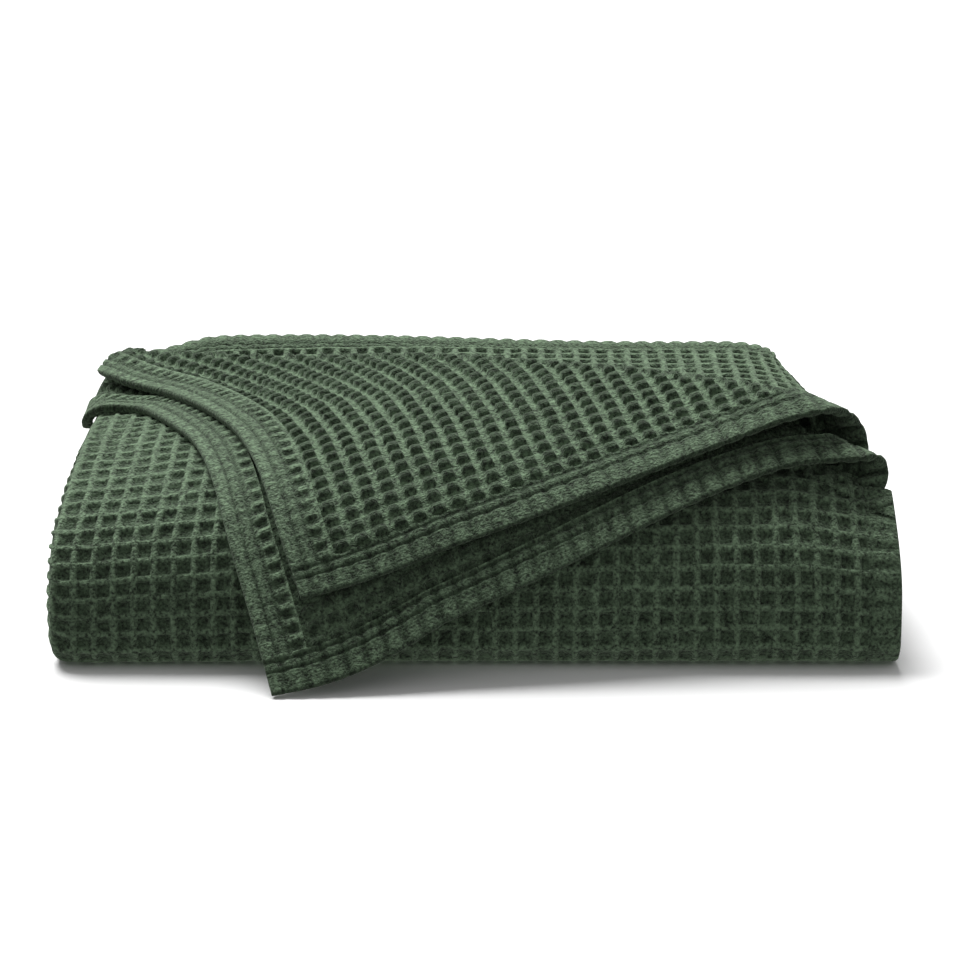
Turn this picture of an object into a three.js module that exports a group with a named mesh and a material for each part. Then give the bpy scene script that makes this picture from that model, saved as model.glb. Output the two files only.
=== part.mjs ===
// Basket weave cotton blanket: one cloth folded in four across its width and in six along its length,
// with the corner of its two uppermost plies turned back over the front of the pack.
// Millimetres, +Z up, the front of the pack towards -Y, standing on z = 0.
import * as THREE from "three";

// Cloth
const thickness = 3;
const plyPitch = 6.67; // a ply and the air above it
const pliesWide = 4;
const pliesHigh = 24;

// Pack, with y measured from its foremost point
const halfWidth = 285.7;
const leftEdge = -288.5;
const foldedWidth = 238; // right fold of the two middle plies
const packDepth = 405;
const flatMiddle = 300; // depth halfway along the flat runs
const lastEnd = 14; // how far the cloth's other end stops short of the rear
const packHeight = thickness + (pliesHigh - 1) * plyPitch;

// Rounded front, as a quarter superellipse above and one below the foremost height
const noseRoot = 225;
const noseHeight = 26;
const noseFoot = 42;
const upperPower = 0.74;
const lowerPower = 0.72;
const innerFront = { y: 140, stretch: 2.35 }; // centre and slenderness of the innermost four folds

// Turned-back corner: its ridge runs from the right edge of the front to the left edge near the rear
const ridgeAngle = THREE.MathUtils.degToRad(27.5);
const ridgeStart = 46;
const shoulderAngle = 50; // degrees down the front from which all plies lie in step again
const settleLength = 90;
const hangAngle = THREE.MathUtils.degToRad(59); // steepest slope of the corner over the front
const hangPower = 4;
const swing = { start: 115, length: 235, shift: 40, power: 1.25 }; // sideways pull of the hanging corner
const overhang = 8; // slack of the turned plies round the left edge
const bowPower = 2; // puts the bow of a turned side nearer to the ridge
const rollTaper = 0.7; // the roll narrows fastest near the right

// How the pack sags
const droopRight = { from: 200, to: 286, share: 0.08 };
const droopLeft = { from: -190, to: -290, share: 0.035 };
const dip = { rear: 400, front: 240, share: 0.05 };
const dipLeft = { rear: 470, front: 215, share: 0.11, from: -20, to: -270 };
const rearLift = { from: 340, to: 410, share: 0.035 };
const insetLeft = { low: 90, high: 157, shift: 6 };

// Steps of the grid: rows are crowded where the cloth bends most, angles are in degrees
const shoulderSteps = { count: 240, crowding: 1.4 };
const flapSteps = 9;
const rollSteps = 6;
const topSteps = { count: 8, crowding: 1.3 };
const rearSteps = 5;
const innerFrontSteps = 8;
const outerFoldSteps = 6;
const innerFoldSteps = 4;
const frontAngles = [63, 74, 83, 90, 98, 108, 124, 150, 180];
const secondFrontAngles = [180, 150, 124, 108, 98, 90, 83, 74, 63, 50, 34, 16, 0];

// The four plies across the width, from the outside of the pack inwards. Those that turn back have a right
// edge, the turned corner (tip) and the other end of the turned hem (far) in plan, the end of the turned side
// on the ridge, the bow of that side, the roll's radius at its right and left and a height over the pack.
const plies = {
  outer: {
    place: 0,
    right: halfWidth,
    tip: { x: -94, depth: -119 },
    far: { x: -308, depth: 332 },
    ridgeX: 268,
    bow: 17,
    rollRight: 12,
    rollLeft: 5,
    rest: 6.5,
  },
  inner: {
    place: 1,
    right: 267,
    tip: { x: -90, depth: -51 },
    far: { x: -274, depth: 321 },
    ridgeX: 230,
    bow: 6,
    rollRight: 24,
    rollLeft: 12.5,
    rest: 13,
  },
  middle: { place: 2 },
  back: { place: 3 },
};

const outerFold = (pliesWide - 1) / 2; // radius of the left fold from outer to back, in ply pitches
const innerFold = 1 / 2; // radius of the fold between neighbouring plies
const leftX = leftEdge + thickness / 2 + outerFold * plyPitch;
const rightX = foldedWidth - thickness / 2 - innerFold * plyPitch;

const mix = (from, to, share) => from + (to - from) * share;
const clampShare = (value, from, to) => Math.min(Math.max((value - from) / (to - from), 0), 1);
const ease = (value, from, to) => {
  const share = clampShare(value, from, to);
  return share * share * (3 - 2 * share);
};
const steps = (count) => Array.from({ length: count + 1 }, (_, k) => k / count);

// Distance of a ply's middle from the outside of the pack, by its place in the stack.
const inset = (place) => thickness / 2 + place * plyPitch;

// Point of the front at an angle from the top (0) through the foremost point to the floor (pi).
function nosePoint(place, angle) {
  const depth = inset(place);
  const share = depth / (packHeight / 2);
  const middle = depth + (packHeight - 2 * depth) * mix(noseHeight / packHeight, 1 / 2, share);
  const forward = Math.sin(angle);
  const upward = Math.abs(Math.cos(angle));
  if (angle <= Math.PI / 2) {
    return {
      y: noseRoot - (noseRoot - depth) * forward ** upperPower,
      z: middle + (packHeight - depth - middle) * upward ** upperPower,
    };
  }
  const foot = mix(noseFoot, noseRoot, share);
  return {
    y: foot - (foot - depth) * forward ** lowerPower,
    z: middle - (middle - depth) * upward ** lowerPower,
  };
}

// Cloth depth along the outer ply: the plan depth on the flat top, going on over the front.
function shoulderTable({ count, crowding }) {
  const rows = [];
  let depth = noseRoot;
  let last = nosePoint(0, 0);
  let y = last.y;
  let z = last.z;
  rows.push({ depth, angle: 0, slope: 0, y, z });
  for (let k = 1; k <= count; k += 1) {
    const angle = (Math.PI / 2) * (k / count) ** crowding;
    const next = nosePoint(0, angle);
    const run = Math.hypot(next.y - last.y, next.z - last.z);
    const lean = Math.atan2(last.z - next.z, last.y - next.y);
    const slope = lean / (1 + (lean / hangAngle) ** hangPower) ** (1 / hangPower);
    depth -= run;
    y -= run * Math.cos(slope);
    z -= run * Math.sin(slope);
    rows.push({ depth, angle, slope, y, z });
    last = next;
  }
  return rows;
}
const shoulder = shoulderTable(shoulderSteps);
const shoulderDepth = shoulder.find((row) => row.angle >= THREE.MathUtils.degToRad(shoulderAngle)).depth;

function shoulderAt(depth) {
  let high = shoulder.findIndex((row) => row.depth <= depth);
  if (high < 0) high = shoulder.length - 1;
  const a = shoulder[Math.max(high - 1, 0)];
  const b = shoulder[high];
  const share = a === b ? 0 : (a.depth - depth) / (a.depth - b.depth);
  return {
    angle: mix(a.angle, b.angle, Math.min(share, 1)),
    slope: mix(a.slope, b.slope, Math.min(share, 1)),
    y: mix(a.y, b.y, share),
    z: mix(a.z, b.z, share),
  };
}

// Point of the top run at a cloth depth.
function topPoint(place, depth) {
  if (depth >= noseRoot) return { y: depth, z: packHeight - inset(place) };
  return nosePoint(place, shoulderAt(depth).angle);
}

// Point over the pack at a height above its outer ply, hanging over the left edge and the front.
function drapedPoint(x, depth, height) {
  const swung = clampShare(swing.start - depth, 0, swing.length) ** swing.power;
  let across = x - swing.shift * swung;
  let rise = height;
  if (x < leftX) {
    const drop = outerFold * plyPitch + overhang;
    const radius = drop + height;
    const angle = Math.min((leftX - x) / radius, Math.PI / 2);
    across = leftX - radius * Math.sin(angle);
    rise = radius * Math.cos(angle) - drop - (leftX - x - radius * angle);
  }
  const base = depth >= noseRoot ? { slope: 0, y: depth, z: packHeight - inset(0) } : shoulderAt(depth);
  return { x: across, y: base.y - rise * Math.sin(base.slope), z: base.z + rise * Math.cos(base.slope) };
}

const ridgeNormal = { x: Math.sin(ridgeAngle), depth: Math.cos(ridgeAngle) };
const ridgeDepth = (x) => ridgeStart + (halfWidth - x) * Math.tan(ridgeAngle);
const fromRidge = ({ x, depth }) => (ridgeDepth(x) - depth) * ridgeNormal.depth;
const rollRadius = (ply, x) => mix(ply.rollRight, ply.rollLeft, clampShare(-x, -halfWidth, halfWidth) ** rollTaper);

const fromSide = ({ ply, x }) => (ply.right - x) / (ply.right - leftX);
const ridgeFoot = (column) => mix(column.ply.ridgeX, leftX, fromSide(column));

// Point of the turned corner, from its end hem (share 0) to the ridge (share 1).
function turnedPoint(column, share) {
  const { ply } = column;
  const side = fromSide(column);
  const foot = ridgeFoot(column);
  const bow = ply.bow * Math.sin(Math.PI * share ** bowPower) * (1 - side);
  const spot = {
    x: mix(mix(ply.tip.x, ply.far.x, side), foot, share),
    depth: mix(mix(ply.tip.depth, ply.far.depth, side), ridgeDepth(foot), share) + bow,
  };
  const rolled = 2 * rollRadius(ply, spot.x) - ply.place * plyPitch;
  const settled = Math.exp(-Math.max(fromRidge(spot), 0) / settleLength);
  return drapedPoint(spot.x, spot.depth, mix(ply.rest, rolled, settled));
}

// Point of the roll along the ridge, from its top (share 0) to the pack (share 1).
function rolledPoint(column, share) {
  const { ply, x } = column;
  const foot = mix(ridgeFoot(column), x, Math.sin((Math.PI / 2) * share));
  const radius = rollRadius(ply, foot);
  const angle = Math.PI * (1 - share);
  const reach = radius * Math.sin(angle);
  const height = radius * (1 - Math.cos(angle)) - ply.place * plyPitch;
  return drapedPoint(foot + reach * ridgeNormal.x, ridgeDepth(foot) + reach * ridgeNormal.depth, height);
}

// Columns across the cloth: each ply's stations and the folds between the plies.
const outerStations = [halfWidth, 262, 228, 175, 105, 35, -35, -105, -170, -230, leftX];
const innerStations = [leftX, -230, -170, -105, -35, 35, 105, 175, 228, plies.inner.right];
const foldedStations = [leftX, -230, -105, 35, 200, rightX];

function foldColumns(x, radius, side, fromPlace, count) {
  const turn = fromPlace === 0 ? 1 : -1;
  const middle = fromPlace + turn * radius;
  return steps(count)
    .slice(1, -1)
    .map((share) => ({
      ply: null,
      x: x + side * radius * plyPitch * Math.sin(Math.PI * share),
      place: middle - turn * radius * Math.cos(Math.PI * share),
    }));
}
const plyColumns = (ply, stations) => stations.map((x) => ({ ply, x, place: ply.place }));
const columns = [
  ...plyColumns(plies.outer, outerStations),
  ...foldColumns(leftX, outerFold, -1, plies.outer.place, outerFoldSteps),
  ...plyColumns(plies.back, foldedStations),
  ...foldColumns(rightX, innerFold, 1, plies.back.place, innerFoldSteps),
  ...plyColumns(plies.middle, [...foldedStations].reverse()),
  ...foldColumns(leftX, innerFold, -1, plies.middle.place, innerFoldSteps),
  ...plyColumns(plies.inner, innerStations),
];
const turnsBack = (column) => column.ply === plies.outer || column.ply === plies.inner;

// Rows along the cloth, from its end at the rear of the top run. Each gives a column's point.
const rows = [];

function addTurnedRows() {
  for (const share of steps(flapSteps)) {
    rows.push({ free: true, point: (column) => turnedPoint(column, share) });
  }
  for (const share of steps(rollSteps).slice(1, -1)) {
    rows.push({ free: true, point: (column) => rolledPoint(column, share) });
  }
}

// Depth at which a column's top run starts: the ridge on the turned plies and on the fold that joins the inner
// one to the middle, the rear end on the others.
function topStart({ ply, x, place }) {
  if (ply === plies.outer || ply === plies.inner) return ridgeDepth(x);
  if (x > leftX || ply === plies.back) return packDepth;
  const inOuterFold = x < leftX - innerFold * plyPitch;
  return mix(ridgeDepth(leftX), packDepth, inOuterFold ? place / plies.back.place : 0);
}

function addTopRows() {
  for (const share of steps(topSteps.count)) {
    const far = 1 - (1 - share) ** topSteps.crowding;
    rows.push({
      point: (column) => ({
        x: column.x,
        ...topPoint(column.place, mix(topStart(column), shoulderDepth, far)),
      }),
    });
  }
}

// A row halfway along a flat run, at a height that each column's own place sets.
function addFlatRow(y, heightOf) {
  rows.push({ point: (column) => ({ x: column.x, y, z: heightOf(column.place) }) });
}

// A front through the given angles in degrees, at a place in the stack that each column's own place sets.
function addNoseRows(placeOf, angles) {
  for (const angle of angles.map(THREE.MathUtils.degToRad)) {
    rows.push({ point: (column) => ({ x: column.x, ...nosePoint(placeOf(column.place), angle) }) });
  }
}

// A half turn at the rear about a height, at the radius that each column's own place sets.
function addRearRows(centreHeight, radiusOf, rising) {
  const turnY = packDepth - inset(pliesWide) + plyPitch;
  for (const share of steps(rearSteps)) {
    const angle = Math.PI * share;
    rows.push({
      point: (column) => {
        const radius = radiusOf(column.place);
        const climb = rising ? -Math.cos(angle) : Math.cos(angle);
        return { x: column.x, y: turnY + radius * Math.sin(angle), z: centreHeight + radius * climb };
      },
    });
  }
}

// The innermost front: half ellipses about the middle height, blunter towards the inside.
function addInnerFrontRows(placeOf) {
  for (const share of steps(innerFrontSteps)) {
    const angle = Math.PI * share;
    rows.push({
      point: (column) => {
        const radius = packHeight / 2 - inset(placeOf(column.place));
        const reach = radius + innerFront.stretch * (radius - plyPitch / 2);
        return {
          x: column.x,
          y: innerFront.y - reach * Math.sin(angle),
          z: packHeight / 2 + radius * Math.cos(angle),
        };
      },
    });
  }
}

const half = pliesWide - 1 / 2; // place of the plane between the first four plies and the next
const second = (place) => 2 * half - place;
const third = (place) => pliesWide * 2 + place;
addTurnedRows();
addTopRows();
addNoseRows((place) => place, frontAngles);
addFlatRow(flatMiddle, (place) => inset(place));
addRearRows(inset(half), (place) => (half - place) * plyPitch, true);
addFlatRow(flatMiddle, (place) => inset(second(place)));
addNoseRows(second, secondFrontAngles);
addFlatRow(flatMiddle, (place) => packHeight - inset(second(place)));
addRearRows(packHeight - inset(half + pliesWide), (place) => (place + 1 / 2) * plyPitch, false);
addFlatRow(flatMiddle, (place) => packHeight - inset(third(place)));
addInnerFrontRows(third);
addFlatRow(flatMiddle, (place) => inset(third(place)));
addFlatRow(packDepth - lastEnd, (place) => inset(third(place)));

// The pack's own weight: the side edges droop, the top dips towards the front and the left, the rear
// stands proud and the left folds draw in.
function sag({ x, y, z }) {
  const right = droopRight.share * ease(x, droopRight.from, droopRight.to);
  const corner = droopLeft.share * ease(x, droopLeft.from, droopLeft.to);
  const front = dip.share * ease(y, dip.rear, dip.front);
  const left = dipLeft.share * ease(x, dipLeft.from, dipLeft.to) * ease(y, dipLeft.rear, dipLeft.front);
  const rear = rearLift.share * ease(y, rearLift.from, rearLift.to);
  const drawIn = insetLeft.shift * ease(z, insetLeft.low, insetLeft.high) * ease(x, 0, -halfWidth);
  return [x + drawIn, y, z * (1 - right - corner - front - left + rear)];
}

// A closed sheet of even thickness on the grid of rows and columns, without the cells that have no cloth.
function sheetGeometry() {
  const width = columns.length;
  const hasCell = (row, col) => {
    if (row < 0 || col < 0 || row >= rows.length - 1 || col >= width - 1) return false;
    return !rows[row].free || (turnsBack(columns[col]) && columns[col].ply === columns[col + 1].ply);
  };
  const hasPoint = (row, col) => !rows[row].free || turnsBack(columns[col]);
  const middle = rows.map((row, r) =>
    columns.map((column, c) => {
      if (!hasPoint(r, c)) return null;
      const { x, y, z } = row.point(column);
      return new THREE.Vector3(x, y, z);
    }),
  );
  const normals = middle.map((row) => row.map((point) => point && new THREE.Vector3()));
  const cells = [];
  for (let r = 0; r < rows.length - 1; r += 1) {
    for (let c = 0; c < width - 1; c += 1) {
      if (!hasCell(r, c)) continue;
      const corners = [[r, c], [r, c + 1], [r + 1, c + 1], [r + 1, c]];
      const [p, q, s, t] = corners.map(([i, j]) => middle[i][j]);
      const normal = s.clone().sub(p).cross(t.clone().sub(q)).normalize();
      corners.forEach(([i, j]) => normals[i][j].add(normal));
      cells.push(corners);
    }
  }
  const positions = [];
  const indexOf = new Map();
  const vertex = ([r, c], side) => {
    const key = `${r},${c},${side}`;
    if (!indexOf.has(key)) {
      const offset = normals[r][c].clone().setLength((side * thickness) / 2);
      indexOf.set(key, positions.length / 3);
      positions.push(...sag(middle[r][c].clone().add(offset)));
    }
    return indexOf.get(key);
  };
  const triangles = [];
  const addQuad = (a, b, c, d) => triangles.push(a, b, c, a, c, d);
  for (const corners of cells) {
    const [r, c] = corners[0];
    addQuad(...corners.map((corner) => vertex(corner, 1)));
    addQuad(...[...corners].reverse().map((corner) => vertex(corner, -1)));
    const neighbours = [hasCell(r - 1, c), hasCell(r, c + 1), hasCell(r + 1, c), hasCell(r, c - 1)];
    neighbours.forEach((joined, side) => {
      if (joined) return;
      const from = corners[side];
      const to = corners[(side + 1) % 4];
      addQuad(vertex(to, 1), vertex(from, 1), vertex(from, -1), vertex(to, -1));
    });
  }
  const geometry = new THREE.BufferGeometry();
  geometry.setAttribute("position", new THREE.Float32BufferAttribute(positions, 3));
  geometry.setIndex(triangles);
  geometry.computeVertexNormals();
  return geometry;
}

const cotton = new THREE.MeshStandardMaterial({ color: 0x3f5a42, roughness: 0.95, metalness: 0 });
const blanket = new THREE.Mesh(sheetGeometry(), cotton);
blanket.name = "blanket";
blanket.geometry.computeBoundingBox();
const box = blanket.geometry.boundingBox;
blanket.position.set(-(box.min.x + box.max.x) / 2, -(box.min.y + box.max.y) / 2, -box.min.z);

const part = new THREE.Group();
part.add(blanket);

export default part;
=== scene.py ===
# Folded basket weave cotton blanket: its plies as thin sheets, with the weave and hems in relief
import math
import bpy
import numpy as np
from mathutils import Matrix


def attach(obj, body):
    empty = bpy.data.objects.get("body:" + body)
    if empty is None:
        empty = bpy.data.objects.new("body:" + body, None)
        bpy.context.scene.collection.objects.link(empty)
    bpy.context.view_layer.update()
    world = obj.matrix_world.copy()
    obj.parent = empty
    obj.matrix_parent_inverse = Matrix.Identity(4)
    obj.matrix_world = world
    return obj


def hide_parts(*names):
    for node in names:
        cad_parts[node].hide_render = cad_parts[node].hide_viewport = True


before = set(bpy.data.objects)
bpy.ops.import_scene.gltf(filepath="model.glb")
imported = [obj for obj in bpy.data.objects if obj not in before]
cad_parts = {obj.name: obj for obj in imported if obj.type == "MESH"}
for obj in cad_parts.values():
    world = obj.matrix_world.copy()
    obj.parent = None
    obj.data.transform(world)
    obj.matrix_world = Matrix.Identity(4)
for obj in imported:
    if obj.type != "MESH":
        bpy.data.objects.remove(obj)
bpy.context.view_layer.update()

# sizes of the folded pack in millimetres, y from its foremost point; the last is its place in the frame
pack = {
    "thickness": 3, "plyPitch": 6.67, "pliesWide": 4, "pliesHigh": 24,
    "halfWidth": 285.7, "leftEdge": -288.5, "foldedWidth": 263,
    "depth": 405, "lastEnd": 14, "hemUnder": 2.6, "frameShift": (5.476, -173.77, 0),
}
# rounded front: quarter superellipses above and below its foremost height
nose = {
    "root": 225, "height": 26, "foot": 42, "upper": 0.74, "lower": 0.72, "innerY": 140, "stretch": 2.35,
    "tableSteps": 1201, "crowding": 1.4,
}
# turned-back corner: its ridge, how it hangs over the front and the left edge
corner = {
    "ridgeAngle": math.radians(27.5), "ridgeStart": 46, "settle": 90,
    "hangAngle": math.radians(59), "hangPower": 4,
    "swingStart": 115, "swingLength": 235, "swingShift": 40, "swingPower": 1.25,
    "overhang": 2, "bowPower": 2.2, "curlStart": 0.7, "wrapPower": 3, "rollTaper": 0.7,
    "droopSpan": (0.28, 0.3),
}
# how the pack sags: from, to and share of the height
sagging = {
    "right": (200, 286, 0.08), "left": (-190, -290, 0.035), "front": (400, 240, 0.05),
    "leftFront": (470, 215, 0.11, -20, -270), "rear": (340, 410, 0.012, 0.067),
    "rearLeft": (140, -190, -265, -210), "drawIn": (90, 157, 6), "drawHigh": (60, 125, 2),
    "drawBack": ((228, 20, 120, 380, 0.5), (200, 30, 260, 405, 0.29)),
}
outerPly = {
    "place": 0, "right": 285.7, "tip": (-94, -120), "far": (-308, 332), "ridgeX": 273,
    "curl": 75, "wrap": 10, "droop": 9, "bow": 17, "rollRight": 15.5, "rollLeft": 5, "rest": 7.5,
}
innerPly = {
    "place": 1, "right": 267, "tip": (-90, -51), "far": (-288, 330), "ridgeX": 243,
    "curl": 25, "wrap": 8, "droop": 3, "bow": 6, "rollRight": 32, "rollLeft": 12.5, "rest": 14,
}

packHeight = pack["thickness"] + (pack["pliesHigh"] - 1) * pack["plyPitch"]
outerFold = (pack["pliesWide"] - 1) / 2 * pack["plyPitch"]
innerFold = pack["plyPitch"] / 2
leftX = pack["leftEdge"] + pack["thickness"] / 2 + outerFold
rightX = pack["foldedWidth"] - pack["thickness"] / 2 - innerFold
halfStack = pack["pliesWide"] - 0.5


def mix(start, end, share):
    return start + (end - start) * share


def clampShare(value, start, end):
    return np.clip((value - start) / (end - start), 0, 1)


def ease(value, start, end):
    share = clampShare(value, start, end)
    return share * share * (3 - 2 * share)


def inset(place):
    return pack["thickness"] / 2 + place * pack["plyPitch"]


# the front at an angle from the top (0) through the foremost point to the floor (pi)
def nosePoint(place, angle):
    depth = inset(place)
    share = depth / (packHeight / 2)
    middle = depth + (packHeight - 2 * depth) * mix(nose["height"] / packHeight, 0.5, share)
    forward = np.clip(np.sin(angle), 0, 1)
    upward = np.abs(np.cos(angle))
    foot = mix(nose["foot"], nose["root"], share)
    above = angle <= math.pi / 2
    y = np.where(above, nose["root"] - (nose["root"] - depth) * forward ** nose["upper"],
                 foot - (foot - depth) * forward ** nose["lower"])
    z = np.where(above, middle + (packHeight - depth - middle) * upward ** nose["upper"],
                 middle - (middle - depth) * upward ** nose["lower"])
    return y, z


# cloth depth down the front, with the slope a hanging ply keeps
def shoulderTable():
    angle = math.pi / 2 * np.linspace(0, 1, nose["tableSteps"]) ** nose["crowding"]
    y, z = nosePoint(0, angle)
    run = np.hypot(np.diff(y), np.diff(z))
    lean = np.arctan2(-np.diff(z), -np.diff(y))
    slope = lean / (1 + (lean / corner["hangAngle"]) ** corner["hangPower"]) ** (1 / corner["hangPower"])
    depth = nose["root"] - np.concatenate([[0], np.cumsum(run)])
    hangY = y[0] - np.concatenate([[0], np.cumsum(run * np.cos(slope))])
    hangZ = z[0] - np.concatenate([[0], np.cumsum(run * np.sin(slope))])
    return {"depth": depth, "angle": angle, "slope": np.concatenate([[0], slope]), "y": hangY, "z": hangZ}


shoulder = shoulderTable()


def shoulderAt(depth, key):
    return np.interp(-depth, -shoulder["depth"], shoulder[key])


def topPoint(place, depth):
    y, z = nosePoint(place, shoulderAt(depth, "angle"))
    flat = depth >= nose["root"]
    return np.where(flat, depth, y), np.where(flat, packHeight - inset(place), z)


# a point over the pack at a height above the outer ply, hanging over the left edge and the front
def drapedPoint(x, depth, height):
    swung = clampShare(corner["swingStart"] - depth, 0, corner["swingLength"]) ** corner["swingPower"]
    drop = outerFold + corner["overhang"]
    radius = drop + height
    angle = np.clip((leftX - x) / radius, 0, math.pi / 2)
    over = x < leftX
    across = np.where(over, leftX - radius * np.sin(angle), x - corner["swingShift"] * swung)
    rise = np.where(over, radius * np.cos(angle) - drop - (leftX - x - radius * angle), height)
    flat = depth >= nose["root"]
    slope = np.where(flat, 0, shoulderAt(depth, "slope"))
    past = np.maximum(shoulder["depth"][-1] - depth, 0)
    y = np.where(flat, depth, shoulderAt(depth, "y") - past * np.cos(slope))
    z = np.where(flat, packHeight - inset(0), shoulderAt(depth, "z") - past * np.sin(slope))
    return np.stack([across, y - rise * np.sin(slope), z + rise * np.cos(slope)], axis=-1)


ridgeNormal = (math.sin(corner["ridgeAngle"]), math.cos(corner["ridgeAngle"]))


def ridgeDepth(x):
    return corner["ridgeStart"] + (pack["halfWidth"] - x) * math.tan(corner["ridgeAngle"])


def rollRadius(ply, x):
    share = clampShare(-x, -pack["halfWidth"], pack["halfWidth"]) ** corner["rollTaper"]
    return mix(ply["rollRight"], ply["rollLeft"], share)


def turnedPoint(ply, side, share):
    foot = mix(ply["ridgeX"], leftX, side)
    bow = ply["bow"] * np.sin(math.pi * share ** corner["bowPower"]) * (1 - side)
    leftEnd = ease(side, corner["curlStart"], 1)
    wrap = ply["wrap"] * leftEnd * (1 - share ** corner["wrapPower"])
    x = mix(mix(ply["tip"][0], ply["far"][0], side), foot, share) - wrap
    curl = ply["curl"] * leftEnd * (1 - share)
    sunk = np.sin(math.pi * clampShare(share, 0, corner["droopSpan"][0]))
    droop = ply["droop"] * sunk * (1 - clampShare(side, 0, corner["droopSpan"][1])) ** 2
    depth = mix(mix(ply["tip"][1], ply["far"][1], side), ridgeDepth(foot), share) + bow - curl - droop
    rolled = 2 * rollRadius(ply, x) - ply["place"] * pack["plyPitch"]
    settled = np.exp(-np.maximum((ridgeDepth(x) - depth) * ridgeNormal[1], 0) / corner["settle"])
    return drapedPoint(x, depth, mix(ply["rest"], rolled, settled))


def rolledPoint(ply, side, share):
    x = mix(ply["right"], leftX, side)
    foot = mix(mix(ply["ridgeX"], leftX, side), x, np.sin(math.pi / 2 * share))
    radius = rollRadius(ply, foot)
    angle = math.pi * (1 - share)
    reach = radius * np.sin(angle)
    height = radius * (1 - np.cos(angle)) - ply["place"] * pack["plyPitch"]
    return drapedPoint(foot + reach * ridgeNormal[0], ridgeDepth(foot) + reach * ridgeNormal[1], height)


# the cloth along its length: each whole number of t starts the next run or turn of the pack
def runPoint(t, place):
    t, place = np.broadcast_arrays(np.asarray(t, float), np.asarray(place, float))
    step = np.minimum(np.floor(t), 10).astype(int)
    f = t - step
    turnY = pack["depth"] - inset(pack["pliesWide"]) + pack["plyPitch"]
    second = 2 * halfStack - place
    third = 2 * pack["pliesWide"] + place
    footFirst = nosePoint(place, math.pi)[0]
    footSecond = nosePoint(second, math.pi)[0]
    front = nosePoint(place, math.pi * f)
    secondFront = nosePoint(second, math.pi * (1 - f))
    lowRadius = (halfStack - place) * pack["plyPitch"]
    highRadius = (place + 0.5) * pack["plyPitch"]
    endRadius = packHeight / 2 - inset(third)
    endReach = endRadius + nose["stretch"] * (endRadius - pack["plyPitch"] / 2)
    sin, cos = np.sin(math.pi * f), np.cos(math.pi * f)
    yRuns = [
        mix(pack["depth"], nose["root"], f), front[0], mix(footFirst, turnY, f), turnY + lowRadius * sin,
        mix(turnY, footSecond, f), secondFront[0], mix(nose["root"], turnY, f), turnY + highRadius * sin,
        mix(turnY, nose["innerY"], f), nose["innerY"] - endReach * sin,
        mix(nose["innerY"], pack["depth"] - pack["lastEnd"], f),
    ]
    flat = 0 * f
    zRuns = [
        packHeight - inset(place) + flat, front[1], inset(place) + flat, inset(halfStack) - lowRadius * cos,
        inset(second) + flat, secondFront[1], packHeight - inset(second) + flat,
        packHeight - inset(halfStack + pack["pliesWide"]) + highRadius * cos,
        packHeight - inset(third) + flat, packHeight / 2 + endRadius * cos, inset(third) + flat,
    ]
    return np.choose(step, yRuns), np.choose(step, zRuns)


def runTable(place):
    t = np.linspace(0, 11, 33001)
    y, z = runPoint(t, place)
    return t, np.concatenate([[0], np.cumsum(np.hypot(np.diff(y), np.diff(z)))])


# the pack's own weight, the same warp for every ply so that none meets another
def sag(points):
    x, y, z = points[..., 0], points[..., 1], points[..., 2]
    right, left, front, rear = (sagging[k] for k in ("right", "left", "front", "rear"))
    a, b, leftShare, c, d = sagging["leftFront"]
    share = 1 - right[2] * ease(x, right[0], right[1]) - left[2] * ease(x, left[0], left[1])
    start, full, end, fade = sagging["rearLeft"]
    rise = mix(rear[2], rear[3], ease(x, start, full) * ease(x, end, fade))
    share = share - front[2] * ease(y, front[0], front[1]) + rise * ease(y, rear[0], rear[1])
    share = share - leftShare * ease(x, c, d) * ease(y, a, b)
    low, high, shift = sagging["drawIn"]
    inward = shift * ease(z, low, high) * ease(x, 0, -pack["halfWidth"])
    low, high, shift = sagging["drawHigh"]
    inward = inward - shift * ease(z, low, high) * ease(x, 0, pack["halfWidth"])
    for start, blend, near, far, pull in sagging["drawBack"]:
        past = np.maximum(x - start, 0)
        past = np.where(past < blend, past ** 2 / (2 * blend), past - blend / 2)
        inward = inward - pull * past * ease(y, near, far)
    return np.stack([x + inward, y, z * share], axis=-1)


# weave: ribs round pits, in millimetres, with the grid's lines and the ribs as shares of a cell
weave = {
    "width": 13.5, "length": 14.1, "base": 0.3, "across": 0.96,
    "swayAcross": (0.035, 0.02), "swayAlong": (0.04, 0.025), "pitVary": 0.16, "ribVary": 0.07,
}
# the pit lift of each face sets how far its painted pit shade is lightened; the outer face's pits are
# painted less dark
outerFace = {
    "lines": (0, 0.09, 0.16, 0.23, 0.5, 0.77, 0.84, 0.91), "ribTop": 0.09, "ribFoot": 0.24,
    "rise": 3.0, "pitShadeLift": 0.22,
}
innerFace = {
    "lines": (0, 0.13, 0.2, 0.27, 0.5, 0.73, 0.8, 0.87), "ribTop": 0.12, "ribFoot": 0.28,
    "rise": 4.8, "pitShadeLift": 0,
}
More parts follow.
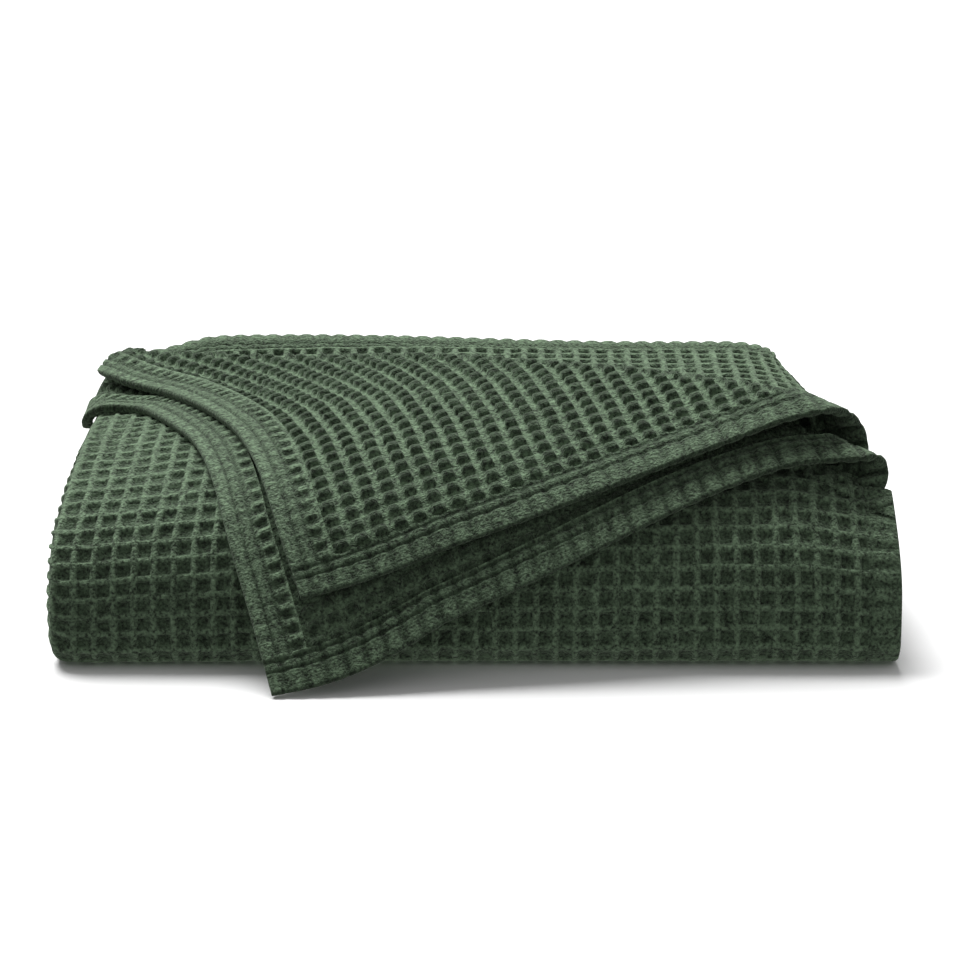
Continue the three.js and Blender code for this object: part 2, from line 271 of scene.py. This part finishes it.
# hems by distance from the edge: height over the ply's middle, and how deep the weave still sinks there
doubleHem = (
    (0, 0.5, 1.4, 3, 6, 10, 13.5, 16, 17.3, 18.3, 19.3, 20.8, 22.5, 24.2, 25.4, 26.5, 28, 29, 30.5),
    (0, 2.2, 3.4, 4.3, 4.9, 4.7, 4.1, 3.2, 2.3, 1.5, 2.3, 3.5, 3.8, 3.2, 2.2, 1.4, 2.0, 2.5, 2.8),
    (0, 0.8, 1.7, 2.9, 3.6, 3.5, 3.0, 2.3, 1.9, 1.4, 1.7, 2.4, 2.6, 2.2, 1.6, 1.2, 1.3, 1.5, 1.8),
)
endHem = (
    (0, 0.5, 1.4, 3, 6, 8.5, 10, 11.5, 14, 16.8, 18.3, 19.8, 21.5),
    (0, 2.4, 3.8, 4.9, 5.2, 3.8, 1.0, 3.2, 4.4, 3.2, 0.8, 1.8, 2.8),
    (0, 0.6, 1.2, 1.8, 2.1, 1.5, 0.3, 1.3, 1.9, 1.3, 0.2, 0.7, 1.4),
)
singleHem = (
    (0, 0.5, 1.4, 3, 6, 10, 14, 17, 18.5, 20, 21.5, 23),
    (0, 1.5, 2.2, 2.6, 2.8, 2.8, 2.8, 2.7, 2.2, 1.2, 1.9, 2.4),
    (0, 0.3, 0.7, 1.2, 1.7, 1.9, 1.9, 1.7, 1.1, 0.2, 0.9, 1.7),
)
# distances over which the weave takes over from a hem, its painted shade lifts and a cut end flattens
hemEnds = {
    "double": (28.5, 30.5), "end": (19.8, 21.5), "single": (21, 23), "under": 30,
    "paintedShade": (24, 32), "flat": 9,
}
crease = {"from": 0.14, "to": 0.5, "depth": 0.95, "vary": 0.35}


# lines through a stretch of cloth: the same shares of every cell, with a hem's own lines near its edge
def cellLines(start, end, pitch, phase, face, hem=None):
    first = math.floor(start / pitch - phase) - 1
    last = math.ceil(end / pitch - phase) + 1
    lines = ((np.arange(first, last)[:, None] + np.array(face["lines"])[None, :] + phase) * pitch).ravel()
    lines = lines[(lines > start + 0.3) & (lines < end - 0.3)]
    fixed = [start, end]
    if hem is not None:
        fixed = fixed + [d for d in hem[0] if start < d < end]
    fixed = np.array(sorted(set(fixed)))
    nearest = np.min(np.abs(lines[:, None] - fixed[None, :]), axis=1)
    return np.sort(np.concatenate([lines[nearest > 0.45], fixed]))


def scatter(i, j):
    value = np.sin(i * 12.9898 + j * 78.233) * 43758.5453
    return value - np.floor(value)


# height of the weave over the ply's middle, in a pit or on a rib; no two pits are quite alike
def clothHeight(u, v, phase, face):
    a = u / weave["width"] - phase[0]
    b = v / weave["length"] - phase[1]
    slow, quick = weave["swayAcross"]
    a = a + slow * np.sin(0.31 * b + 0.6) + quick * np.sin(1.7 * b + 0.9 * a)
    slow, quick = weave["swayAlong"]
    b = b + slow * np.sin(0.23 * a + 1.1) + quick * np.sin(1.3 * a + 0.5 * b)
    ribA = 1 - ease(np.abs(a - np.round(a)), face["ribTop"], face["ribFoot"])
    ribB = 1 - ease(np.abs(b - np.round(b)), face["ribTop"], face["ribFoot"])
    floor = weave["pitVary"] * scatter(np.floor(a), np.floor(b))
    height = 1 - (1 - ribA) * (1 - weave["across"] * ribB)
    height = height * (1 - weave["ribVary"] + weave["ribVary"] * np.sin(2.1 * a + 1.4 * b))
    return weave["base"] + face["rise"] * (floor + (1 - floor) * height)


# height of a hem, with creases between its lumps
def hemHeight(distance, along, hem, pitch, phase, share=1):
    cell = along / pitch - phase
    pit = ease(np.abs(cell - np.round(cell)), crease["from"], crease["to"]) * share
    pit = pit * (crease["depth"] + crease["vary"] * scatter(np.floor(cell), 3))
    return np.interp(distance, hem[0], hem[1]) - np.interp(distance, hem[0], hem[2]) * pit


def surfaceNormals(points):
    normal = np.cross(np.gradient(points, axis=1), np.gradient(points, axis=0))
    length = np.linalg.norm(normal, axis=-1, keepdims=True)
    return normal / np.maximum(length, 1e-9)


def hemLines(count, under):
    lines, sides = np.arange(count), np.ones(count)
    if under:
        lines = np.concatenate([np.arange(under, 0, -1), lines])
        sides = np.concatenate([-np.ones(under), [0], np.ones(count - 1)])
    return lines, sides


cottonMaterial = bpy.data.materials.new("greenCotton")


# a mesh from a grid of points, faces and cloth coordinates, in metres
def addPiece(name, points, faces, cells, paintedShading):
    used, faces = np.unique(faces, return_inverse=True)
    faces = faces.reshape(-1, 4)
    points = points.reshape(-1, 3)[used] + np.array(pack["frameShift"])
    points[:, 2] = np.maximum(points[:, 2], 0)
    cells, paintedShading = cells.reshape(-1, 2)[used], paintedShading.ravel()[used]
    mesh = bpy.data.meshes.new(name)
    mesh.vertices.add(len(points))
    mesh.vertices.foreach_set("co", (points / 1000).astype(np.float32).ravel())
    mesh.loops.add(faces.size)
    mesh.loops.foreach_set("vertex_index", faces.astype(np.int32).ravel())
    mesh.polygons.add(len(faces))
    mesh.polygons.foreach_set("loop_start", np.arange(0, faces.size, 4, dtype=np.int32))
    mesh.update(calc_edges=True)
    mesh.shade_smooth()
    uv = mesh.uv_layers.new(name="weave")
    uv.data.foreach_set("uv", cells[faces.ravel()].astype(np.float32).ravel())
    # this attribute carries painted shade: it is low where the cloth lies low, in pits and hem creases
    mesh.attributes.new("paintedShading", "FLOAT", "POINT").data.foreach_set("value", paintedShading.astype(np.float32))
    mesh.materials.append(cottonMaterial)
    piece = bpy.data.objects.new(name, mesh)
    bpy.context.scene.collection.objects.link(piece)
    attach(piece, "root")
    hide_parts("blanket")
    print(name, "triangles:", 2 * len(faces))
    return piece


# one face of a ply, with its hems turned under at the first row and column
def addFace(name, face, middle, u, v, over, facing, keep=None, hemRows=0, hemCols=0, paintedShade=1):
    if keep is None:
        keep = np.ones((middle.shape[0] - 1, middle.shape[1] - 1), bool)
    normals = surfaceNormals(middle) * facing
    rows, rowSides = hemLines(middle.shape[0], hemRows)
    cols, colSides = hemLines(middle.shape[1], hemCols)
    grid = np.ix_(rows, cols)
    side = np.minimum(rowSides[:, None], colSides[None, :])
    lift = np.where(side > 0, over[grid], np.where(side < 0, -np.minimum(over[grid], pack["hemUnder"]), 0))
    points = middle[grid] + normals[grid] * lift[..., None]
    cellRows, cellCols = np.minimum(rows[:-1], rows[1:]), np.minimum(cols[:-1], cols[1:])
    kept = keep[np.ix_(cellRows, cellCols)].copy()
    underRow = np.minimum(rowSides[:-1], rowSides[1:]) < 0
    underCol = np.minimum(colSides[:-1], colSides[1:]) < 0
    kept &= ~(underCol[None, :] & (underRow | (cellRows < hemRows))[:, None])
    index = np.arange(points.shape[0] * points.shape[1]).reshape(points.shape[:2])
    faces = np.stack([index[:-1, :-1], index[:-1, 1:], index[1:, 1:], index[1:, :-1]], axis=-1)[kept]
    if facing < 0:
        faces = faces[:, ::-1]
    cells = np.stack([u / weave["width"] + 0 * v, v / weave["length"] + 0 * u], axis=-1)[grid]
    # painted shade: the colour share falls as the cloth lies lower, from the ribs into the pits
    paintedShading = mix(face["pitShadeLift"], 1, clampShare(over, weave["base"], weave["base"] + face["rise"]))
    # painted shade on the hems besides, given by the caller
    paintedShading = (paintedShading * paintedShade)[grid]
    return addPiece(name, points, faces, cells, paintedShading)


# columns across the pack from the right edge of the outer ply, round the left fold to the back ply
def outerColumns(u):
    turn = np.clip((u - (pack["halfWidth"] - leftX)) / outerFold, 0, math.pi)
    x = np.where(turn > 0, leftX - outerFold * np.sin(turn), pack["halfWidth"] - u)
    return x, 1.5 - 1.5 * np.cos(turn)


foldLength = math.pi * outerFold
flatWidth = pack["halfWidth"] - leftX


# front: the outer ply from under the turned corner down to the floor
front = {"phase": (0.2, 0.35), "hiddenBy": 55, "endUnder": 60, "hem": 24}


def buildFront():
    t, length = runTable(0)
    end = np.interp(2, t, length) + front["endUnder"]
    u = cellLines(0, flatWidth + foldLength, weave["width"], front["phase"][0], outerFace, singleHem)
    v = cellLines(60, end, weave["length"], front["phase"][1], outerFace)
    x, place = outerColumns(u)
    y, z = runPoint(np.interp(v, length, t)[:, None], place[None, :])
    middle = sag(np.stack([np.broadcast_to(x, y.shape), y, z], axis=-1))
    u, v = u[None, :], v[:, None]
    height = clothHeight(u, v, front["phase"], outerFace)
    over = hemHeight(u, v, singleHem, weave["length"], front["phase"][1])
    over = mix(over, height, ease(u, *hemEnds["single"]))
    depth = pack["depth"] - v
    swung = clampShare(corner["swingStart"] - depth, 0, corner["swingLength"]) ** corner["swingPower"]
    planX = x[None, :] + corner["swingShift"] * swung
    tip, far = outerPly["tip"], outerPly["far"]
    ridgeEnd = (outerPly["ridgeX"], ridgeDepth(outerPly["ridgeX"]))

    def inside(start, end):
        dx, dy = end[0] - start[0], end[1] - start[1]
        return ((depth - start[1]) * dx - (planX - start[0]) * dy) / math.hypot(dx, dy)

    hidden = (inside(tip, ridgeEnd) > front["hiddenBy"]) & (-inside(tip, far) > front["hiddenBy"])
    keep = ~hidden & (depth < ridgeDepth(x)[None, :] + 4)
    hemCols = int(np.sum(u < front["hem"]))
    return addFace("outerFront", outerFace, middle, u, v, over, 1, keep[:-1, :-1], hemCols=hemCols)


# turned corner: a ply from its end hem up to the ridge, round the roll and back under it
# each flap's hem factor below is painted shade on its hems
flaps = {
    "outerFlap": {
        "ply": outerPly, "phase": (0.1, 0.3), "width": 540, "under": 26, "shown": 180, "paintedHemShade": 0.72,
    },
    "innerFlap": {
        "ply": innerPly, "phase": (0.55, 0.2), "width": 520, "under": 26, "shown": 900, "paintedHemShade": 0.78,
    },
}
flapSteps = {"turned": 161, "rolled": 49, "under": 9}


def buildFlap(name):
    flap = flaps[name]
    ply = flap["ply"]
    u = cellLines(0, flap["width"], weave["width"], flap["phase"][0], innerFace, doubleHem)
    side = u / flap["width"]
    x = mix(ply["right"], leftX, side)
    turned = turnedPoint(ply, side[None, :], np.linspace(0, 1, flapSteps["turned"])[:, None])
    rolled = rolledPoint(ply, side[None, :], np.linspace(0, 1, flapSteps["rolled"])[1:, None])
    depth = ridgeDepth(x)[None, :] - np.linspace(0, flap["under"], flapSteps["under"])[1:, None]
    y, z = topPoint(ply["place"], depth)
    under = np.stack([np.broadcast_to(x, y.shape), y, z], axis=-1)
    path = sag(np.concatenate([turned, rolled, under]))
    steps = np.linalg.norm(np.diff(path, axis=0), axis=-1)
    length = np.concatenate([np.zeros((1, len(u))), np.cumsum(steps, axis=0)])
    v = cellLines(0, length[-1].max(), weave["length"], flap["phase"][1], innerFace, endHem)
    middle = np.empty((len(v), len(u), 3))
    for k in range(len(u)):
        for axis in range(3):
            middle[:, k, axis] = np.interp(v, length[:, k], path[:, k, axis])
    u, v = u[None, :], v[:, None]
    height = clothHeight(u, v, flap["phase"], innerFace)
    over = hemHeight(v, u, endHem, weave["width"], flap["phase"][0])
    over = mix(over, height, ease(v, *hemEnds["end"]))
    sideHem = hemHeight(u, v, doubleHem, weave["length"], flap["phase"][1])
    over = mix(sideHem, over, ease(u, *hemEnds["double"]))
    over = np.minimum(over, np.interp(v, endHem[0][:4], endHem[1][:4]) + 3 * ease(v, 2, 3))  # rounds the end
    over = mix(over, 1, ease(u, flap["width"] - hemEnds["flat"], flap["width"]) * ease(v, 20, 30))
    longer = np.maximum(length[-1][:-1], length[-1][1:])
    keep = (v[:-1] < longer[None, :]) & ((u < flap["shown"]) | (v < flap["shown"]))[:-1, :-1]
    hemRows, hemCols = int(np.sum(v < hemEnds["under"])), int(np.sum(u < hemEnds["under"]))
    # painted shade: the hems, which face away from the light, are darkened
    paintedShade = mix(flap["paintedHemShade"], 1, ease(u, *hemEnds["paintedShade"]))
    return addFace(name, innerFace, middle, u, v, over, 1, keep, hemRows, hemCols, paintedShade)


# top behind the ridge: the middle ply with its end hem, its right fold and a little of the back ply
top = {"phase": (0.3, 0.15), "pastRidge": 45, "under": 30, "crease": 0.45}


def buildTop():
    across = rightX - leftX
    fold = math.pi * innerFold
    u = cellLines(0, across + fold + top["under"], weave["width"], top["phase"][0], innerFace)
    v = cellLines(0, pack["depth"] - 20, weave["length"], top["phase"][1], innerFace, doubleHem)
    turn = np.clip((u - across) / innerFold, 0, math.pi)
    x = np.where(u < across, leftX + u, rightX + innerFold * np.sin(turn) - np.maximum(u - across - fold, 0))
    place = 2.5 - 0.5 * np.cos(turn)
    depth = pack["depth"] - v
    y, z = topPoint(place[None, :], depth[:, None])
    middle = sag(np.stack([np.broadcast_to(x, y.shape), y, z], axis=-1))
    u, v = u[None, :], v[:, None]
    height = clothHeight(u, v, top["phase"], innerFace)
    over = hemHeight(v, u, doubleHem, weave["width"], top["phase"][0], top["crease"])
    over = mix(1, mix(over, height, ease(v, *hemEnds["double"])), ease(u, 0, hemEnds["flat"]))
    keep = np.broadcast_to(depth[:, None] > ridgeDepth(x)[None, :] - top["pastRidge"], over.shape)
    hemRows = int(np.sum(v < hemEnds["under"]))
    return addFace("middleTop", innerFace, middle, u, v, over, -1, keep[:-1, :-1], hemRows=hemRows)


# rounded rear turns of the outer and back plies, from a flat stretch to a flat stretch
turns = {
    "outerRear": {"place": 0, "from": 3, "to": 4, "lap": 30, "phase": (0.2, 0.4), "facing": 1},
    "backRear": {"place": 3, "from": 7, "to": 8, "lap": 30, "phase": (0.4, 0.1), "facing": -1},
}


def buildTurn(name):
    turn = turns[name]
    t, length = runTable(turn["place"])
    ends = np.interp([turn["from"], turn["to"]], t, length)
    right = pack["halfWidth"] if turn["place"] == 0 else rightX
    u = cellLines(0, right - leftX, weave["width"], turn["phase"][0], outerFace)
    v = cellLines(ends[0] - turn["lap"], ends[1] + turn["lap"], weave["length"], turn["phase"][1], outerFace)
    x = right - u
    y, z = runPoint(np.interp(v, length, t)[:, None], turn["place"] + 0 * x[None, :])
    middle = sag(np.stack([np.broadcast_to(x, y.shape), y, z], axis=-1))
    u, v = u[None, :], v[:, None]
    over = clothHeight(u, v, turn["phase"], outerFace)
    if turn["place"] == 0:
        hem = hemHeight(u, v, singleHem, weave["length"], turn["phase"][1])
        over = mix(hem, over, ease(u, *hemEnds["single"]))
    return addFace(name, outerFace, middle, u, v, over, turn["facing"])


# folds down the left and right of all runs below the top one
folds = {
    "leftFolds": {
        "x": leftX, "radius": outerFold, "side": -1, "places": (0, 3), "lap": 7, "facing": 1,
        "phase": (0.3, 0.2),
    },
    "rightFolds": {
        "x": rightX, "radius": innerFold, "side": 1, "places": (3, 2), "lap": 5, "facing": 1,
        "phase": (0.3, 0.2),
    },
}


def buildFolds(name):
    fold = folds[name]
    around = math.pi * fold["radius"]
    t, length = runTable(1.5)
    start = np.interp(2, t, length)
    u = cellLines(-fold["lap"], around + fold["lap"], weave["width"], fold["phase"][0], outerFace)
    v = cellLines(start, length[-1], weave["length"], fold["phase"][1], outerFace)
    angle = np.clip(u / fold["radius"], 0, math.pi)
    past = np.maximum(-u, 0) + np.maximum(u - around, 0)
    x = fold["x"] + fold["side"] * (fold["radius"] * np.sin(angle) - past)
    place = mix(fold["places"][0], fold["places"][1], 0.5 - 0.5 * np.cos(angle))
    y, z = runPoint(np.interp(v, length, t)[:, None], place[None, :])
    middle = sag(np.stack([np.broadcast_to(x, y.shape), y, z], axis=-1))
    u, v = u[None, :], v[:, None]
    over = clothHeight(u, v, fold["phase"], outerFace)
    return addFace(name, outerFace, middle, u, v, over, fold["facing"])


# side hems of the outer and inner plies through the runs that their faces above leave out
sideHems = {
    "outerHem": {"ply": outerPly, "from": 2, "width": 32, "phase": 0.35},
    "innerHem": {"ply": innerPly, "from": 0.9, "width": 32, "phase": 0.1},
}


def buildSideHem(name):
    hem = sideHems[name]
    ply = hem["ply"]
    t, length = runTable(ply["place"])
    u = np.array(singleHem[0] + (27, hem["width"]), float)
    v = cellLines(np.interp(hem["from"], t, length), length[-1], weave["length"], hem["phase"], outerFace)
    x = ply["right"] - u
    y, z = runPoint(np.interp(v, length, t)[:, None], ply["place"] + 0 * x[None, :])
    middle = sag(np.stack([np.broadcast_to(x, y.shape), y, z], axis=-1))
    u, v = u[None, :], v[:, None]
    over = hemHeight(np.minimum(u, 23), v, singleHem, weave["length"], hem["phase"])
    keep = np.broadcast_to(pack["depth"] - v < ridgeDepth(x)[None, :] - 12, over.shape)
    return addFace(name, outerFace, middle, u, v, over, 1, keep[:-1, :-1], hemCols=u.shape[1] - 1)


# the rest of the cloth: one closed sheet through all folds, thin so that the woven faces cover it
core = {
    "edge": 2, "rowsPerCell": 2, "station": 27, "hiddenStation": 60, "foldSteps": (12, 8, 6),
    "covered": (-0.7, 1.9), "folded": (-0.4, 1.4), "plain": (0.6, 0.6),
    "endDistance": (0, 0.7, 2, 5, 20, 22, 26), "endSwell": (-0.2, 0.8, 1.3, 1.5, 1.5, 0.6, 0),
}


def coreColumns():
    def stations(right, spacing):
        return np.linspace(right, leftX, int((right - leftX) / spacing))

    outerX = stations(pack["halfWidth"] - core["edge"], core["station"])
    middleX = stations(rightX, core["station"])
    backX = stations(rightX, core["hiddenStation"])[::-1]
    innerX = stations(innerPly["right"] - core["edge"], core["hiddenStation"])[::-1]
    parts = []

    # x, place and the offsets of the two faces
    def add(x, place, offsets):
        parts.append((x, place + 0 * x, offsets[0] + 0 * x, offsets[1] + 0 * x))

    def addFold(x, radius, side, start, end, count):
        angle = np.linspace(0, math.pi, count + 1)[1:-1]
        place = mix(start, end, 0.5 - 0.5 * np.cos(angle))
        add(x + side * radius * np.sin(angle), place, core["folded"])

    leftCount, rightCount, innerCount = core["foldSteps"]
    add(outerX, 0, core["covered"])
    addFold(leftX, outerFold, -1, 0, 3, leftCount)
    add(backX, 3, core["folded"])
    addFold(rightX, innerFold, 1, 3, 2, rightCount)
    add(middleX, 2, core["covered"])
    addFold(leftX, innerFold, -1, 2, 1, innerCount)
    add(innerX, 1, core["plain"])
    return [np.concatenate(column) for column in zip(*parts)]


def buildCore():
    x, place, outside, inside = coreColumns()
    t, length = runTable(1.5)
    v = np.arange(1, length[-1], weave["length"] / core["rowsPerCell"])
    v = np.sort(np.concatenate([v, length[-1] - np.array(core["endDistance"][:4])]))
    y, z = runPoint(np.interp(v, length, t)[:, None], place[None, :])
    middle = sag(np.stack([np.broadcast_to(x, y.shape), y, z], axis=-1))
    u = np.cumsum(np.concatenate([[0], np.hypot(np.diff(x), np.diff(place) * pack["plyPitch"])]))
    toEnd = (length[-1] - v)[:, None]
    swell = np.interp(toEnd, core["endDistance"], core["endSwell"])
    start = np.where((place < 1.5) & (x >= leftX), ridgeDepth(x), pack["depth"])
    inOuterFold = x < leftX - innerFold - 0.01
    folded = mix(ridgeDepth(leftX), pack["depth"], np.where(inOuterFold, place / 3, 0))
    start = np.where(x < leftX, folded, start)
    keep = (pack["depth"] - v)[:, None] <= start[None, :] + 0.01
    keep = keep[:-1, :-1] & keep[:-1, 1:]
    normals = surfaceNormals(middle)
    points = np.concatenate([middle - normals * (inside + swell)[..., None],
                             middle + normals * (outside + swell)[..., None]])
    index = np.arange(len(v) * len(x)).reshape(len(v), len(x))
    above = index + index.size
    quads = np.stack([index[:-1, :-1], index[1:, :-1], index[1:, 1:], index[:-1, 1:]], axis=-1)
    faces = [quads[keep], (quads[keep] + index.size)[:, ::-1]]
    around = np.pad(keep, 1)
    corners = [(slice(None, -1), slice(None, -1)), (slice(1, None), slice(None, -1)),
               (slice(1, None), slice(1, None)), (slice(None, -1), slice(1, None))]
    beside = [around[1:-1, :-2], around[2:, 1:-1], around[1:-1, 2:], around[:-2, 1:-1]]
    for k in range(4):
        edge = keep & ~beside[k]
        a, b = corners[k], corners[(k + 1) % 4]
        faces.append(np.stack([index[b][edge], index[a][edge], above[a][edge], above[b][edge]], axis=-1))
    cells = np.stack(np.broadcast_arrays(u[None, :] / weave["width"], v[:, None] / weave["length"]), axis=-1)
    # the hidden core sheet takes a middle painted shade
    paintedShading = np.full((2,) + cells.shape[:2], 0.5)
    return addPiece("foldedCloth", points, np.concatenate(faces), np.stack([cells, cells]), paintedShading)


coreSheet = buildCore()
buildFront()
for name in flaps:
    buildFlap(name)
buildTop()
for name in turns:
    buildTurn(name)
for name in folds:
    buildFolds(name)
for name in sideHems:
    buildSideHem(name)

# cotton finish: thread pattern, heather, a soft sheen, and painted shade that darkens the weave's pits and
# hem creases
cotton = {
    # pit is a near-black painted shade for pits and hem creases; rib is the cloth's colour on its ribs
    "pit": (0.012, 0.022, 0.011, 1), "rib": (0.105, 0.155, 0.096, 1),
    "threads": 11, "fuzz": 430, "heather": 170, "speckleLow": 0.2, "speckleHigh": 1.9, "speckleGain": 3.6,
    "roughness": 0.95, "specular": 0.15,
    "sheen": 0.3, "sheenRoughness": 0.55, "sheenTint": (0.62, 0.76, 0.58, 1),
    "bump": 1.0, "bumpDepth": 0.003, "patches": 11, "patchShare": 0.2, "paintedShadingShare": 0.85,
    "fuzzShare": 0.7, "heatherShare": 0.3, "threadShare": 0.08,
}


def finishCotton():
    cottonMaterial.use_nodes = True
    tree = cottonMaterial.node_tree
    nodes, links = tree.nodes, tree.links
    shader = nodes["Principled BSDF"]
    shader.inputs["Roughness"].default_value = cotton["roughness"]
    shader.inputs["Sheen Weight"].default_value = cotton["sheen"]
    shader.inputs["Sheen Roughness"].default_value = cotton["sheenRoughness"]
    shader.inputs["Sheen Tint"].default_value = cotton["sheenTint"]
    shader.inputs["Specular IOR Level"].default_value = cotton["specular"]
    uv = nodes.new("ShaderNodeUVMap")
    uv.uv_map = "weave"
    paintedShading = nodes.new("ShaderNodeAttribute")
    paintedShading.attribute_name = "paintedShading"
    coords = nodes.new("ShaderNodeTexCoord")

    def waves(direction):
        node = nodes.new("ShaderNodeTexWave")
        node.bands_direction = direction
        node.inputs["Scale"].default_value = cotton["threads"] / 20 * math.pi
        node.inputs["Distortion"].default_value = 1.2
        node.inputs["Detail"].default_value = 2
        node.inputs["Detail Scale"].default_value = 3
        links.new(uv.outputs["UV"], node.inputs["Vector"])
        return node

    def noise(scale, detail, rough, source):
        node = nodes.new("ShaderNodeTexNoise")
        node.inputs["Scale"].default_value = scale
        node.inputs["Detail"].default_value = detail
        node.inputs["Roughness"].default_value = rough
        links.new(source, node.inputs["Vector"])
        return node

    def math2(operation, first, second):
        node = nodes.new("ShaderNodeMath")
        node.operation = operation
        for socket, value in zip(node.inputs, (first, second)):
            if isinstance(value, (int, float)):
                socket.default_value = value
            else:
                links.new(value, socket)
        return node.outputs[0]

    def blend(kind, factor, first, second):
        node = nodes.new("ShaderNodeMix")
        node.data_type = "RGBA"
        node.blend_type = kind
        colours = [socket for socket in node.inputs if socket.type == "RGBA"]
        for socket, value in ((node.inputs["Factor"], factor), (colours[0], first), (colours[1], second)):
            if isinstance(value, (tuple, int, float)):
                socket.default_value = value
            else:
                links.new(value, socket)
        return [socket for socket in node.outputs if socket.type == "RGBA"][0]

    def spread(value, gain):
        node = nodes.new("ShaderNodeMapRange")
        node.inputs["From Min"].default_value = 0.5 - 0.5 / gain
        node.inputs["From Max"].default_value = 0.5 + 0.5 / gain
        links.new(value, node.inputs["Value"])
        return node.outputs["Result"]

    threads = math2("MULTIPLY", waves("X").outputs["Fac"], waves("Y").outputs["Fac"])
    fuzz = noise(cotton["fuzz"], 2, 0.6, coords.outputs["Object"]).outputs["Fac"]
    heather = noise(cotton["heather"], 3, 0.6, coords.outputs["Object"]).outputs["Fac"]
    patches = noise(cotton["patches"], 2, 0.5, coords.outputs["Object"]).outputs["Fac"]
    # painted shade: pit colour where the cloth lies low, rib colour where it is raised, mixed with random
    # patches
    paintedTone = math2("MULTIPLY", paintedShading.outputs["Fac"], cotton["paintedShadingShare"])
    lift = math2("ADD", paintedTone, math2("MULTIPLY", patches, cotton["patchShare"]))
    base = blend("MIX", lift, cotton["pit"], cotton["rib"])
    # fine grain: heathered yarn colour, partly painted shade between the yarns and painted highlights on the
    # fibres
    fine = math2("MULTIPLY", fuzz, cotton["fuzzShare"])
    mixed = math2("ADD", fine, math2("MULTIPLY", heather, cotton["heatherShare"]))
    speckle = cotton["speckleHigh"] - cotton["speckleLow"]
    grain = math2("MULTIPLY", spread(mixed, cotton["speckleGain"]), speckle)
    grain = math2("ADD", grain, cotton["speckleLow"])
    links.new(blend("MULTIPLY", 1, base, grain), shader.inputs["Base Color"])
    bump = nodes.new("ShaderNodeBump")
    bump.inputs["Strength"].default_value = cotton["bump"]
    bump.inputs["Distance"].default_value = cotton["bumpDepth"]
    links.new(math2("ADD", math2("MULTIPLY", threads, cotton["threadShare"]), mixed), bump.inputs["Height"])
    links.new(bump.outputs["Normal"], shader.inputs["Normal"])


finishCotton()
print("cotton finished")

# pale floor and soft studio light from behind on the left
studio = {
    "floorSize": 40, "floorColour": (0.92, 0.92, 0.92, 1), "skyHigh": 0.38, "skyLow": 0.36,
    "floorRoughness": 0.9, "floorSpecular": 0.1, "skyFrom": -0.3, "skyTo": 0.5,
    "sunPower": 4.6, "sunAngle": 40, "sunFrom": (-0.28, 0.5, 1.0), "view": "Standard",
}


def buildStudio():
    half = studio["floorSize"] / 2
    mesh = bpy.data.meshes.new("floor")
    corners = [(-half, -half, 0), (half, -half, 0), (half, half, 0), (-half, half, 0)]
    mesh.from_pydata(corners, [], [(0, 1, 2, 3)])
    paper = bpy.data.materials.new("palePaper")
    paper.use_nodes = True
    surface = paper.node_tree.nodes["Principled BSDF"]
    surface.inputs["Base Color"].default_value = studio["floorColour"]
    surface.inputs["Roughness"].default_value = studio["floorRoughness"]
    surface.inputs["Specular IOR Level"].default_value = studio["floorSpecular"]
    mesh.materials.append(paper)
    floor = bpy.data.objects.new("floor", mesh)
    floor.visible_diffuse = False  # keeps the pale floor from lighting the front
    bpy.context.scene.collection.objects.link(floor)
    world = bpy.data.worlds.new("studio")
    world.use_nodes = True
    nodes, links = world.node_tree.nodes, world.node_tree.links
    direction = nodes.new("ShaderNodeTexCoord")
    split = nodes.new("ShaderNodeSeparateXYZ")
    height = nodes.new("ShaderNodeMapRange")
    height.inputs["From Min"].default_value = studio["skyFrom"]
    height.inputs["From Max"].default_value = studio["skyTo"]
    height.inputs["To Min"].default_value = studio["skyLow"]
    height.inputs["To Max"].default_value = studio["skyHigh"]
    links.new(direction.outputs["Generated"], split.inputs["Vector"])
    links.new(split.outputs["Z"], height.inputs["Value"])
    links.new(height.outputs["Result"], nodes["Background"].inputs["Strength"])
    nodes["Background"].inputs["Color"].default_value = (1, 1, 1, 1)
    bpy.context.scene.world = world
    light = bpy.data.lights.new("softLight", "SUN")
    light.energy = studio["sunPower"]
    light.angle = math.radians(studio["sunAngle"])
    sun = bpy.data.objects.new("softLight", light)
    x, y, z = studio["sunFrom"]
    sun.rotation_euler = (math.atan2(math.hypot(x, y), z), 0, math.atan2(y, x) + math.pi / 2)
    bpy.context.scene.collection.objects.link(sun)
    bpy.context.scene.view_settings.view_transform = studio["view"]


buildStudio()

# camera at the photograph's place, in the pack's millimetres
camera = {"place": (2.3, -1900, 600), "tilt": 13.82, "lens": 110.6}


def buildCamera():
    data = bpy.data.cameras.new("camera")
    data.lens = camera["lens"]
    data.sensor_width = 36
    data.clip_end = 100
    view = bpy.data.objects.new("camera", data)
    view.location = [(a + b) / 1000 for a, b in zip(camera["place"], pack["frameShift"])]
    view.rotation_euler = (math.radians(90 - camera["tilt"]), 0, 0)
    bpy.context.scene.collection.objects.link(view)
    bpy.context.scene.camera = view


buildCamera()
bpy.context.view_layer.update()
